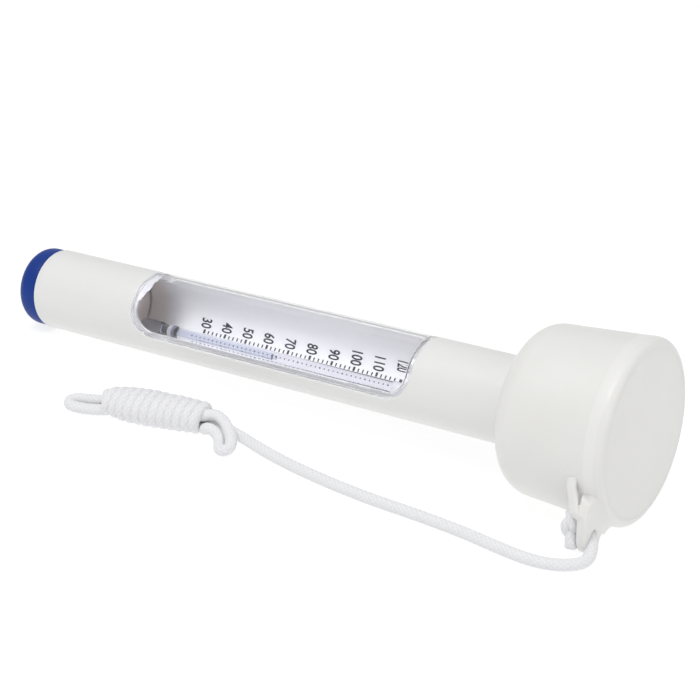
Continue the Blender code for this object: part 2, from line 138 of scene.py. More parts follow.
def ramp_node(nodes, links, source, stops):
    ramp = nodes.new("ShaderNodeValToRGB")
    ramp.color_ramp.elements[0].position = stops[0][0]
    ramp.color_ramp.elements[0].color = (*stops[0][1], 1)
    ramp.color_ramp.elements[1].position = stops[-1][0]
    ramp.color_ramp.elements[1].color = (*stops[-1][1], 1)
    for pos, col in stops[1:-1]:
        e = ramp.color_ramp.elements.new(pos)
        e.color = (*col, 1)
    links.new(source, ramp.inputs[0])
    return ramp


def range_node(nodes, links, source, low, high):
    node = nodes.new("ShaderNodeMapRange")
    node.inputs["To Min"].default_value = low
    node.inputs["To Max"].default_value = high
    links.new(source, node.inputs["Value"])
    return node


def bump_node(nodes, links, height, strength, distance, before=None):
    bump = nodes.new("ShaderNodeBump")
    bump.inputs["Strength"].default_value = strength
    bump.inputs["Distance"].default_value = distance
    links.new(height, bump.inputs["Height"])
    if before is not None:
        links.new(before.outputs[0], bump.inputs["Normal"])
    return bump


def moulded_plastic(name, colour, darker, rough=(0.30, 0.42), grain=900.0, grain_depth=0.00002, coat=0.15, sss=0.08, flow=(1, 1, 1), painted_rim_light=None, level=0.5):
    """Injection-moulded plastic: faint colour drift, uneven gloss, fine skin texture and slow flow ripple."""
    mat, nodes, links, shader, _ = new_material(name)
    coords = nodes.new("ShaderNodeTexCoord").outputs["Object"]
    drift = noise_node(nodes, links, coords, 38.0, 4.0, 0.55, flow)
    tint = ramp_node(nodes, links, drift.outputs["Fac"], [(0.30, darker), (0.62, colour), (1.0, colour)])
    if painted_rim_light:
        # painted light: vertices marked by this attribute get a lighter copy of the plastic colour, standing in for the
        # bright band of light along the head's rim
        mark = nodes.new("ShaderNodeAttribute")
        mark.attribute_name = "painted_rim_light"
        mix = nodes.new("ShaderNodeMix")
        mix.data_type = "RGBA"
        links.new(mark.outputs["Fac"], mix.inputs["Factor"])
        links.new(tint.outputs[0], mix.inputs["A"])
        mix.inputs["B"].default_value = (*painted_rim_light, 1)
        links.new(mix.outputs["Result"], shader.inputs["Base Color"])
    else:
        links.new(tint.outputs[0], shader.inputs["Base Color"])
    shader.inputs["Specular IOR Level"].default_value = level
    smear = noise_node(nodes, links, coords, 120.0, 5.0, 0.6, flow)
    links.new(range_node(nodes, links, smear.outputs["Fac"], *rough).outputs[0], shader.inputs["Roughness"])
    ripple = noise_node(nodes, links, coords, 60.0, 2.0, 0.5, flow)
    skin = noise_node(nodes, links, coords, grain * 4, 2.0, 0.5)
    first = bump_node(nodes, links, ripple.outputs["Fac"], 0.35, 0.00012)
    second = bump_node(nodes, links, skin.outputs["Fac"], 0.5, grain_depth, first)
    links.new(second.outputs[0], shader.inputs["Normal"])
    shader.inputs["IOR"].default_value = 1.49
    shader.inputs["Coat Weight"].default_value = coat
    shader.inputs["Coat Roughness"].default_value = 0.22
    shader.inputs["Subsurface Weight"].default_value = sss
    shader.inputs["Subsurface Radius"].default_value = (0.004, 0.0035, 0.003)
    shader.inputs["Subsurface Scale"].default_value = 1.0
    return mat


def clear_material(name, tint, rough=(0.01, 0.05), ior=1.46, ripple=0.15, veil=0.0):
    """Clear plastic or glass that lets lamp light through to what is behind it."""
    mat, nodes, links, shader, out = new_material(name)
    coords = nodes.new("ShaderNodeTexCoord").outputs["Object"]
    shader.inputs["Base Color"].default_value = (*tint, 1)
    shader.inputs["Transmission Weight"].default_value = 1.0
    shader.inputs["IOR"].default_value = ior
    haze = noise_node(nodes, links, coords, 150.0, 4.0, 0.6)
    links.new(range_node(nodes, links, haze.outputs["Fac"], *rough).outputs[0], shader.inputs["Roughness"])
    wave = noise_node(nodes, links, coords, 70.0, 2.0, 0.5)
    links.new(bump_node(nodes, links, wave.outputs["Fac"], ripple, 0.0001).outputs[0], shader.inputs["Normal"])
    path = nodes.new("ShaderNodeLightPath")
    clear = nodes.new("ShaderNodeBsdfTransparent")
    clear.inputs["Color"].default_value = (*tint, 1)
    mix = nodes.new("ShaderNodeMixShader")
    links.new(path.outputs["Is Shadow Ray"], mix.inputs[0])
    links.new(shader.outputs[0], mix.inputs[1])
    links.new(clear.outputs[0], mix.inputs[2])
    links.new(mix.outputs[0], out.inputs["Surface"])
    return mat


white_tube = moulded_plastic("white_tube_plastic", (0.768, 0.768, 0.762), (0.750, 0.749, 0.738), (0.32, 0.46), coat=0.08, flow=(0.25, 1, 1))
white_head = moulded_plastic("white_head_plastic", (0.762, 0.759, 0.742), (0.742, 0.738, 0.717), (0.36, 0.52), coat=0.06, sss=0.1, painted_rim_light=(0.778, 0.775, 0.760))
blue_cap = moulded_plastic("blue_cap_plastic", (0.006, 0.042, 0.262), (0.005, 0.034, 0.222), (0.34, 0.50), coat=0.0, sss=0.0, level=0.22)
# painted shade: the bulkheads are real parts, but their warm brown-grey colour is matched to the painted shade on the
# card's left end, where the lower bulkhead shows in shadow
carrier = moulded_plastic("carrier_plastic_painted_shade", (0.80, 0.72, 0.69), (0.73, 0.65, 0.62), (0.45, 0.6), sss=0.0)
lens_clear = clear_material("lens_clear_plastic", (0.985, 0.985, 0.995), (0.0, 0.04), 1.46, 0.12)
bead_milky = moulded_plastic("sealant_milky", (0.74, 0.74, 0.77), (0.58, 0.58, 0.63), (0.12, 0.35), coat=0.4, sss=0.25)
stem_glass = clear_material("stem_glass", (0.80, 0.80, 0.835), (0.0, 0.02), 1.33, 0.05)


def simple_material(name, colour, darker, rough, metallic=0.0, scale=200.0, bump=0.3):
    mat, nodes, links, shader, _ = new_material(name)
    coords = nodes.new("ShaderNodeTexCoord").outputs["Object"]
    tex = noise_node(nodes, links, coords, scale, 4.0, 0.6)
    links.new(ramp_node(nodes, links, tex.outputs["Fac"], [(0.3, darker), (0.7, colour)]).outputs[0], shader.inputs["Base Color"])
    links.new(range_node(nodes, links, tex.outputs["Fac"], *rough).outputs[0], shader.inputs["Roughness"])
    links.new(bump_node(nodes, links, tex.outputs["Fac"], bump, 0.00005).outputs[0], shader.inputs["Normal"])
    shader.inputs["Metallic"].default_value = metallic
    return mat


spirit_blue = clear_material("blue_spirit_liquid", (0.80, 0.845, 0.93), (0.0, 0.02), 1.33, 0.02)
dark_sleeve = simple_material("sleeve_rubber", (0.60, 0.61, 0.67), (0.50, 0.51, 0.57), (0.30, 0.45), scale=700.0)
# painted shade: a dark ring material standing in for the shaded right end of the stem's collar
painted_shade_ring = simple_material("sleeve_ring_painted_shade", (0.16, 0.17, 0.23), (0.11, 0.12, 0.17), (0.30, 0.45), scale=700.0)
black_seal = simple_material("black_seal_rubber", (0.030, 0.030, 0.032), (0.018, 0.018, 0.020), (0.5, 0.7), scale=900.0)
ballast_steel = simple_material("turned_ballast_steel", (0.48, 0.48, 0.50), (0.40, 0.40, 0.42), (0.28, 0.42), 1.0, 500.0)
stem_ink = simple_material("stem_graduation_ink", (0.10, 0.10, 0.14), (0.06, 0.06, 0.09), (0.4, 0.6), scale=1500.0, bump=0.1)
print_ink = simple_material("printed_ink", (0.022, 0.022, 0.028), (0.012, 0.012, 0.016), (0.5, 0.65), scale=1500.0, bump=0.1)


def card_material():
    """Coated card: fine paper fibre, faint mottling, and painted shade that browns and darkens the card's left end
    under the tube wall.
    """
    mat, nodes, links, shader, _ = new_material("scale_card_stock")
    coords = nodes.new("ShaderNodeTexCoord").outputs["Object"]
    fibre = noise_node(nodes, links, coords, 1400.0, 4.0, 0.65, (0.35, 1, 1))
    mottle = noise_node(nodes, links, coords, 60.0, 3.0, 0.5)
    mix = nodes.new("ShaderNodeMath")
    mix.operation = "MULTIPLY_ADD"
    mix.inputs[1].default_value = 0.35
    links.new(fibre.outputs["Fac"], mix.inputs[0])
    links.new(mottle.outputs["Fac"], mix.inputs[2])
    tint = ramp_node(nodes, links, mix.outputs[0], [(0.35, (0.935, 0.935, 0.965)), (0.9, (0.955, 0.955, 0.98))])
    # painted shade: a browner, darker copy of the card colour for the card's left end, standing in for the shadow under
    # the tube wall
    painted_end_shade = ramp_node(nodes, links, mix.outputs[0], [(0.35, (0.82, 0.745, 0.72)), (0.9, (0.85, 0.78, 0.755))])
    shade = nodes.new("ShaderNodeAttribute")
    shade.attribute_name = "painted_end_shade"
    blend = nodes.new("ShaderNodeMix")
    blend.data_type = "RGBA"
    links.new(shade.outputs["Fac"], blend.inputs[0])
    links.new(tint.outputs[0], blend.inputs[6])
    links.new(painted_end_shade.outputs[0], blend.inputs[7])
    links.new(blend.outputs[2], shader.inputs["Base Color"])
    links.new(range_node(nodes, links, fibre.outputs["Fac"], 0.45, 0.62).outputs[0], shader.inputs["Roughness"])
    links.new(bump_node(nodes, links, fibre.outputs["Fac"], 0.4, 0.00002).outputs[0], shader.inputs["Normal"])
    return mat


card_stock = card_material()


def braid_material():
    """Braided white cord: the yarns' own fibres, soft sheen, and painted shade that darkens the grooves between the
    yarns. The mesh's UV runs along and round the cord.
    """
    mat, nodes, links, shader, _ = new_material("white_braid_fibre")
    uv = nodes.new("ShaderNodeUVMap")
    uv.uv_map = "braid"
    # painted shade: the crown value darkens the cord's colour in the grooves between the yarns
    shade = nodes.new("ShaderNodeAttribute")
    shade.attribute_name = "crown_shade"
    coords = nodes.new("ShaderNodeTexCoord").outputs["Object"]
    speck = noise_node(nodes, links, coords, 2600.0, 3.0, 0.7)
    mix = nodes.new("ShaderNodeMath")
    mix.operation = "MULTIPLY_ADD"
    mix.inputs[1].default_value = 0.55
    links.new(speck.outputs["Fac"], mix.inputs[0])
    links.new(shade.outputs["Fac"], mix.inputs[2])
    tint = ramp_node(nodes, links, mix.outputs[0], [(0.10, (0.635, 0.64, 0.665)), (0.55, (0.780, 0.782, 0.800)), (1.0, (0.830, 0.831, 0.842))])
    links.new(tint.outputs[0], shader.inputs["Base Color"])
    fibre = nodes.new("ShaderNodeTexNoise")
    fibre.inputs["Scale"].default_value = 26.0
    fibre.inputs["Detail"].default_value = 3.0
    twist = nodes.new("ShaderNodeMapping")
    twist.inputs["Rotation"].default_value = (0, 0, 0.8)
    twist.inputs["Scale"].default_value = (1.0, 5.0, 1.0)
    links.new(uv.outputs[0], twist.inputs["Vector"])
    links.new(twist.outputs[0], fibre.inputs["Vector"])
    first = bump_node(nodes, links, fibre.outputs["Fac"], 0.6, 0.00012)
    second = bump_node(nodes, links, speck.outputs["Fac"], 0.5, 0.00006, first)
    links.new(second.outputs[0], shader.inputs["Normal"])
    shader.inputs["Roughness"].default_value = 0.85
    shader.inputs["Sheen Weight"].default_value = 0.25
    shader.inputs["Sheen Roughness"].default_value = 0.5
    return mat


braid = braid_material()


# ---------------------------------------------------------------- cord
def smooth_route(points, spacing):
    """Evenly spaced points along a centripetal Catmull-Rom curve through points."""
    pts = [Vector(p) for p in points]
    pts = [pts[0] * 2 - pts[1]] + pts + [pts[-1] * 2 - pts[-2]]
    dense = []
    for p0, p1, p2, p3 in zip(pts, pts[1:], pts[2:], pts[3:]):
        t0 = 0.0
        t1 = t0 + math.sqrt((p1 - p0).length)
        t2 = t1 + math.sqrt((p2 - p1).length)
        t3 = t2 + math.sqrt((p3 - p2).length)
        for k in range(16):
            t = t1 + (t2 - t1) * k / 16
            a1 = p0 * ((t1 - t) / (t1 - t0)) + p1 * ((t - t0) / (t1 - t0))
            a2 = p1 * ((t2 - t) / (t2 - t1)) + p2 * ((t - t1) / (t2 - t1))
            a3 = p2 * ((t3 - t) / (t3 - t2)) + p3 * ((t - t2) / (t3 - t2))
            b1 = a1 * ((t2 - t) / (t2 - t0)) + a2 * ((t - t0) / (t2 - t0))
            b2 = a2 * ((t3 - t) / (t3 - t1)) + a3 * ((t - t1) / (t3 - t1))
            dense.append(b1 * ((t2 - t) / (t2 - t1)) + b2 * ((t - t1) / (t2 - t1)))
    dense.append(pts[-2])
    return even(dense, spacing)


def even(dense, spacing):
    total = sum((b - a).length for a, b in zip(dense, dense[1:]))
    count = max(2, round(total / spacing))
    step = total / count
    out, travelled, target = [dense[0]], 0.0, step
    for a, b in zip(dense, dense[1:]):
        length = (b - a).length
        while travelled + length >= target - 1e-9 and len(out) < count:
            out.append(a.lerp(b, (target - travelled) / length))
            target += step
        travelled += length
    out.append(dense[-1])
    return out


def relax(points, rounds, keep_ends=4):
    for _ in range(rounds):
        new = list(points)
        for i in range(keep_ends, len(points) - keep_ends):
            new[i] = points[i] * 0.5 + (points[i - 1] + points[i + 1]) * 0.25
        points = new
    return points


GROUND = CORD_D / 2 + 0.02
HANK_A = flat(97.6, -33.0)  # end nearer the float
HANK_B = flat(65.2, -42.1)
HANK_AXIS = (HANK_B - HANK_A).normalized()
HANK_SIDE = Vector((-HANK_AXIS.y, HANK_AXIS.x, 0.0))  # towards -Y, the camera
if HANK_SIDE.y > 0:
    HANK_SIDE = -HANK_SIDE
HANK_LEN = (HANK_B - HANK_A).length
WRAP_A, WRAP_B, WRAP_Z = 5.1, 4.05, 5.55
TURNS = 12.6


def hank_point(along, side, height):
    return HANK_A + HANK_AXIS * along + HANK_SIDE * side + Vector((0, 0, height))


eye_in = (EAR_A + EAR_B) / 2
tail_top = [
    flat(218.5, -28.9, 1.9),
    flat(218.2, -28.2, 3.3),
    flat(217.3, -26.9, 5.2),
    flat(217.0, -25.4, 6.4),
    world((218.0, -24.5, -21.2)) / MM,
    world((220.5, EYE_Y, EYE_Z)) / MM,
    world((222.0, EYE_Y - 0.1, EYE_Z - 0.1)) / MM,
]
lead = [
    flat(223.4, -26.0, 4.4),
    flat(224.2, -27.6, 3.2),
    flat(224.8, -29.4, 2.2),
    flat(224.9, -31.4, GROUND),
    flat(223.8, -34.2, GROUND),
    flat(221.3, -36.7, GROUND),
    flat(217.6, -38.8, GROUND),
    flat(213.2, -39.9, GROUND),
    flat(208.0, -40.2, GROUND),
    flat(203.0, -39.8, GROUND),
    flat(198.0, -39.4, GROUND),
    flat(192.7, -38.8, GROUND),
    flat(187.0, -38.5, GROUND),
    flat(176.9, -38.3, GROUND),
    flat(166.3, -38.5, GROUND),
    flat(155.5, -38.5, GROUND),
    flat(143.9, -37.8, GROUND),
    flat(131.5, -36.4, GROUND),
    flat(124.7, -35.2, GROUND),
    flat(117.8, -33.7, GROUND),
    flat(112.0, -32.0, GROUND),
    flat(106.5, -30.5, GROUND),
    flat(102.4, -30.2, 2.3),
]
core = [
    hank_point(1.0, -1.9, 3.8),
    hank_point(8.0, -1.75, 5.0),
    hank_point(17.0, -1.75, 5.0),
    hank_point(26.0, -1.75, 5.0),
    hank_point(33.0, -1.9, 4.8),
    hank_point(38.5, -1.6, 3.9),
    hank_point(43.4, -1.8, 3.4),
    hank_point(45.6, -1.9, 3.2),
    hank_point(47.0, -1.3, 3.0),
    hank_point(47.5, 0.0, 2.8),
    hank_point(47.0, 1.3, 2.5),
    hank_point(45.6, 1.9, 2.3),
    hank_point(43.2, 1.8, 2.2),
    hank_point(39.2, 1.6, 2.2),
    hank_point(35.0, 1.8, 2.9),
    hank_point(30.0, 1.8, 4.2),
    hank_point(24.0, 1.75, 5.0),
    hank_point(14.0, 1.75, 5.0),
    hank_point(6.0, 1.5, 5.8),
    hank_point(1.6, 1.0, 6.9),
]
loose = [
    flat(98.9, -32.9, 7.7),
    flat(101.2, -32.8, 7.3),
    flat(103.9, -33.6, 6.2),
    flat(106.5, -35.2, 4.9),
    flat(108.9, -37.3, 3.3),
    flat(109.9, -39.5, 2.1),
    flat(109.2, -41.5, GROUND),
    flat(107.3, -41.6, GROUND),
    flat(106.0, -40.2, GROUND),
    flat(105.2, -38.5, 2.1),
    flat(104.1, -36.9, 3.1),
    flat(102.0, -36.4, 4.1),
    flat(100.1, -36.6, 4.8),
]


def spindle(f):
    """The hank's girth from its end by the float (0) to its looped end (1)."""
    stops = ((0.0, 0.80), (0.08, 0.87), (0.3, 0.94), (0.58, 1.0), (0.78, 0.94), (0.9, 0.80), (1.0, 0.56))
    for (a, p), (b, q) in zip(stops, stops[1:]):
        if f <= b:
            t = (f - a) / (b - a)
            return p + (q - p) * t
    return stops[-1][1]


wraps = []
steps = int(TURNS * 20)
first_angle = -0.3
for k in range(steps + 1):
    f = k / steps
    a = first_angle - f * TURNS * 2 * math.pi
    along = 1.2 + (HANK_LEN - 0.4) * f - 1.0 * max(0.0, 1.0 - k / 6) ** 2
    swell = spindle(f)
    wobble = 1.0 + 0.025 * math.sin(7.3 * f * TURNS) + 0.018 * math.sin(2.1 * f * TURNS + 1.0)
    side = WRAP_A * swell * wobble * math.cos(a)
    high = WRAP_Z + WRAP_B * swell * math.sin(a) * (1.0 + 0.02 * math.sin(5.1 * f * TURNS))
    wraps.append(hank_point(along + 0.25 * math.sin(2 * a + 1.3), side, max(high, GROUND - 0.01)))
tuck = [
    hank_point(HANK_LEN + 0.4, 0.9, 7.3),
    hank_point(HANK_LEN - 1.2, 1.7, 6.9),
    hank_point(HANK_LEN - 3.6, 1.3, 6.7),
    hank_point(HANK_LEN - 7.0, 0.5, 6.7),
    hank_point(HANK_LEN - 11.0, 0.0, 6.8),
]
route = smooth_route(tail_top + lead + core + loose + wraps + tuck, 0.30)
route = relax(route, 60, 3)
route = even(route, 0.30)


def cord_mesh(name, points, diameter, sides=36, plaits=16, pitch=6.6, depth=0.085):
    """Braided round cord: two sets of yarns that cross over and under, as relief on a tube, with UV along and round it."""
    count = len(points)
    travelled = [0.0]
    for a, b in zip(points, points[1:]):
        travelled.append(travelled[-1] + (b - a).length)
    tangents = [(points[min(i + 1, count - 1)] - points[max(i - 1, 0)]).normalized() for i in range(count)]
    normal = tangents[0].orthogonal().normalized()
    rings, bm = [], bmesh.new()
    crown_shade = bm.verts.layers.float.new("crown_shade")
    for i in range(count):
        if i:
            normal = tangents[i - 1].rotation_difference(tangents[i]) @ normal
            normal = (normal - tangents[i] * normal.dot(tangents[i])).normalized()
        side = tangents[i].cross(normal)
        s = travelled[i]
        ring = []
        end = min(s, travelled[-1] - s)
        pinch = math.sqrt(max(0.0, 1 - (1 - min(1.0, end / 0.9)) ** 2)) * 0.35 + 0.65
        for j in range(sides):
            a = 2 * math.pi * j / sides
            u, v = s / pitch, j / sides
            p = plaits / 2
            one = (u * p * 0.5 + v * p) * math.pi * 2
            two = (u * p * 0.5 - v * p) * math.pi * 2
            over = 0.5 + 0.5 * math.tanh(2.5 * math.sin(one * 0.5 + two * 0.5) * math.sin(one * 0.5 - two * 0.5))
            h = over * abs(math.cos(one / 2)) + (1 - over) * abs(math.cos(two / 2))
            fuzz = noise.noise(Vector((s * 1.6, v * 9.0, 3.1)))
            r = (diameter / 2 + depth * (h - 0.62) + 0.03 * fuzz) * pinch
            vert = bm.verts.new((points[i] + (normal * math.cos(a) + side * math.sin(a)) * r) * MM)
            # painted shade mask: high on the yarn crowns, low in the grooves where the colour is darkened
            vert[crown_shade] = max(0.0, min(1.0, h * 0.8 + 0.1 * fuzz))
            ring.append(vert)
        rings.append(ring)
    uv = bm.loops.layers.uv.new("braid")
    for i in range(count - 1):
        for j in range(sides):
            n = (j + 1) % sides
            face = bm.faces.new((rings[i][j], rings[i][n], rings[i + 1][n], rings[i + 1][j]))
            values = ((travelled[i], j), (travelled[i], j + 1), (travelled[i + 1], j + 1), (travelled[i + 1], j))
            for loop, (s, k) in zip(face.loops, values):
                loop[uv].uv = (s * 0.1, k / sides)
    for ring, flip in ((rings[0], True), (rings[-1], False)):
        face = bm.faces.new(list(reversed(ring)) if flip else ring)
        for loop in face.loops:
            loop[uv].uv = (0.0, 0.5)
    bmesh.ops.recalc_face_normals(bm, faces=bm.faces)
    mesh = bpy.data.meshes.new(name)
    bm.to_mesh(mesh)
    bm.free()
    mesh.shade_smooth()
    mesh.materials.append(braid)
    obj = bpy.data.objects.new(name, mesh)
    bpy.context.scene.collection.objects.link(obj)
    return obj


tether = cord_mesh("tether_rope", route, CORD_D)
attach(tether, BODY)
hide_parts("tether_cord", "tether_turn", "tether_hank", "tether_end_loop")

# stopper knot: a tight overhand turn round the cord behind the ear
knot_mid = Vector((215.9, -24.5, -19.3))
knot_route = []
for k in range(97):
    t = 2 * math.pi * k / 96
    big = 2.0 + 0.8 * math.cos(3 * t)
    p = Vector((1.25 * math.sin(3 * t), big * math.cos(2 * t), big * math.sin(2 * t) * 1.15))
    knot_route.append(world(knot_mid + p) / MM)
knot_points = even(knot_route, 0.30)
knot = cord_mesh("tether_stopper_knot", knot_points, 3.1)
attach(knot, BODY)
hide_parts("tether_knot")


# ---------------------------------------------------------------- modelling helpers
def add_piece(name, bm, mat, replaced=(), sharp=40.0, keep_local=True):
    bmesh.ops.remove_doubles(bm, verts=bm.verts, dist=0.0004)
    bmesh.ops.recalc_face_normals(bm, faces=bm.faces)
    for v in bm.verts:
        v.co = world(v.co) if keep_local else v.co * MM
    mesh = bpy.data.meshes.new(name)
    bm.to_mesh(mesh)
    bm.free()
    mesh.shade_smooth()
    mesh.set_sharp_from_angle(angle=math.radians(sharp))
    mesh.materials.append(mat)
    obj = bpy.data.objects.new(name, mesh)
    bpy.context.scene.collection.objects.link(obj)
    finish_piece(obj, replaced)
    return obj


def finish_piece(obj, replaced, body=BODY):
    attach(obj, body)
    if replaced:
        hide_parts(*replaced)


def arc(x, r, radius, start, stop, steps):
    out = []
    for k in range(steps + 1):
        a = math.radians(start + (stop - start) * k / steps)
        out.append((x + radius * math.cos(a), r + radius * math.sin(a)))
    return out


def turned(profile, segments=192, centre=(0, 0)):
    """Solid of revolution about the thermometer's axis, or about a parallel one through centre (y, z)."""
    bm = bmesh.new()
    rings = []
    for x, r in profile:
        if r <= 1e-6:
            rings.append([bm.verts.new((x, centre[0], centre[1]))])
        else:
            rings.append(
                [
                    bm.verts.new((x, centre[0] + r * math.sin(2 * math.pi * k / segments), centre[1] - r * math.cos(2 * math.pi * k / segments)))
                    for k in range(segments)
                ]
            )
    pairs = list(zip(rings, rings[1:]))
    if profile[0][1] > 1e-6 and profile[-1][1] > 1e-6:
        pairs.append((rings[-1], rings[0]))
    for one, two in pairs:
        for k in range(segments):
            n = (k + 1) % segments
            if len(one) == 1 and len(two) == 1:
                continue
            if len(one) == 1:
                bm.faces.new((one[0], two[n], two[k]))
            elif len(two) == 1:
                bm.faces.new((one[k], one[n], two[0]))
            else:
                bm.faces.new((one[k], one[n], two[n], two[k]))
    return bm


CORNER_STEPS, FLAT_STEPS, LONG_STEPS = 14, 60, 40


def columns(inset):
    """The window's outline moved inwards by inset, as columns (phi, first x, last x)."""
    half = math.radians(WIN_HALF) * TUBE_R - inset
    corner = max(WIN_CORNER - inset, 0.5)
    lows, highs = WIN_A + inset, WIN_B - inset
    arcs = []
    for k in range(CORNER_STEPS + 1):
        a = math.pi / 2 * k / CORNER_STEPS
        arcs.append((half - corner + corner * math.cos(a), corner - corner * math.sin(a)))
    straight = half - corner
    cols = [(-v, cut) for v, cut in arcs]
    cols += [(-straight + 2 * straight * k / FLAT_STEPS, 0.0) for k in range(1, FLAT_STEPS)]
    cols += [(v, cut) for v, cut in reversed(arcs)]
    return [(WIN_PHI + math.degrees(v / TUBE_R), lows + cut, highs - cut) for v, cut in cols]


def outline_loop(inset, radius):
    """The outline moved inwards by inset, at one radius or at a radius that follows phi."""
    r = radius if callable(radius) else lambda phi: radius
    cols = columns(inset)
    loop = [polar(a, r(phi), phi) for phi, a, _ in cols]
    phi, a, b = cols[-1]
    loop += [polar(a + (b - a) * k / LONG_STEPS, r(phi), phi) for k in range(1, LONG_STEPS)]
    loop += [polar(b, r(phi), phi) for phi, _, b in reversed(cols)]
    phi, a, b = cols[0]
    loop += [polar(b + (a - b) * k / LONG_STEPS, r(phi), phi) for k in range(1, LONG_STEPS)]
    return loop


def rim_depth(near):
    """Inner radius of the pane's rim: full on the near side and the ends, fading into the pane on the far side."""

    def radius(phi):
        t = min(1.0, max(0.0, (phi - 178.0) / 40.0))
        t = t * t * (3 - 2 * t)
        return near + (12.2 - near) * t

    return radius


def strip(bm, loops):
    made = [[bm.verts.new(p) for p in loop] for loop in loops]
    for one, two in zip(made, made[1:]):
        for k in range(len(one)):
            n = (k + 1) % len(one)
            bm.faces.new((one[k], one[n], two[n], two[k]))
    return made


def window_patch(bm, inset, r):
    """Surface inside the outline at radius r."""
    cols = columns(inset)
    grid = [[bm.verts.new(polar(a + (b - a) * k / LONG_STEPS, r, phi)) for k in range(LONG_STEPS + 1)] for phi, a, b in cols]
    for one, two in zip(grid, grid[1:]):
        for k in range(LONG_STEPS):
            bm.faces.new((one[k], one[k + 1], two[k + 1], two[k]))


def tube_surface(bm, inset, r, start, end, start_steps=14, end_steps=20, outside=44):
    """Cylinder of radius r from start to end with the window's outline left open."""
    cols = columns(inset)
    phi0, a0, b0 = cols[0]
    phi1 = cols[-1][0]

    def column(phi, a, b, middle):
        xs = [start + (a - start) * k / start_steps for k in range(start_steps + 1)]
        if middle:
            xs += [a + (b - a) * k / LONG_STEPS for k in range(1, LONG_STEPS)]
        xs += [b + (end - b) * k / end_steps for k in range(end_steps + 1)]
        return [bm.verts.new(polar(x, r, phi)) for x in xs]

    inside = [column(phi, a, b, False) for phi, a, b in cols]
    for one, two in zip(inside, inside[1:]):
        for k in list(range(start_steps)) + list(range(start_steps + 1, start_steps + 1 + end_steps)):
            bm.faces.new((one[k], one[k + 1], two[k + 1], two[k]))
    span = 360.0 - (phi1 - phi0)
    ring = [column(phi1 + span * k / outside, a0, b0, True) for k in range(outside + 1)]
    for one, two in zip(ring, ring[1:]):
        for k in range(len(one) - 1):
            bm.faces.new((one[k], one[k + 1], two[k + 1], two[k]))
    return [c[0] for c in inside], [c[-1] for c in inside], [c[0] for c in ring], [c[-1] for c in ring]


def end_phis():
    cols = columns(0.0)
    phi0, phi1 = cols[0][0], cols[-1][0]
    span = 360.0 - (phi1 - phi0)
    return [c[0] for c in cols] + [phi1 + span * k / 44 for k in range(1, 44)]


def end_ring(inset, x, r):
    cols = columns(inset)
    phi0, phi1 = cols[0][0], cols[-1][0]
    span = 360.0 - (phi1 - phi0)
    return [polar(x, r, phi) for phi in [c[0] for c in cols] + [phi1 + span * k / 44 for k in range(1, 44)]]


# ---------------------------------------------------------------- body tube
bm = bmesh.new()
edge = 0.28
tube_surface(bm, -edge, TUBE_R, TUBE_START + 0.4, TUBE_END)
tube_surface(bm, 0.0, BORE, TUBE_START, TUBE_END)
strip(bm, [outline_loop(-edge, TUBE_R), outline_loop(-edge * 0.62, TUBE_R - edge * 0.08), outline_loop(-edge * 0.3, TUBE_R - edge * 0.3), outline_loop(-edge * 0.08, TUBE_R - edge * 0.62), outline_loop(0.0, TUBE_R - edge), outline_loop(0.0, BORE)])
strip(bm, [end_ring(-edge, TUBE_START + 0.4, TUBE_R), end_ring(-edge, TUBE_START + 0.12, TUBE_R - 0.12), end_ring(-edge, TUBE_START, TUBE_R - 0.4), end_ring(0.0, TUBE_START, BORE)])
strip(bm, [end_ring(-edge, TUBE_END, TUBE_R), end_ring(0.0, TUBE_END, BORE)])
add_piece("tube_body", bm, white_tube, ["body_tube"])

# ---------------------------------------------------------------- clear window
bm = bmesh.new()
g = 0.07
top = TUBE_R - 0.03
window_patch(bm, g + 0.45, top)
strip(
    bm,
    [
        outline_loop(g + 0.45, top),
        outline_loop(g + 0.2, top - 0.04),
        outline_loop(g + 0.04, top - 0.18),
        outline_loop(g, top - 0.4),
        outline_loop(g, rim_depth(11.45)),
        outline_loop(g + 0.15, rim_depth(11.3)),
        outline_loop(g + 1.35, rim_depth(11.3)),
        outline_loop(g + 1.5, rim_depth(11.45)),
        outline_loop(g + 1.6, rim_depth(12.1)),
        outline_loop(g + 1.8, 12.3),
    ],
)
window_patch(bm, g + 1.8, 12.3)
add_piece("window_pane", bm, lens_clear, ["window_lens"])

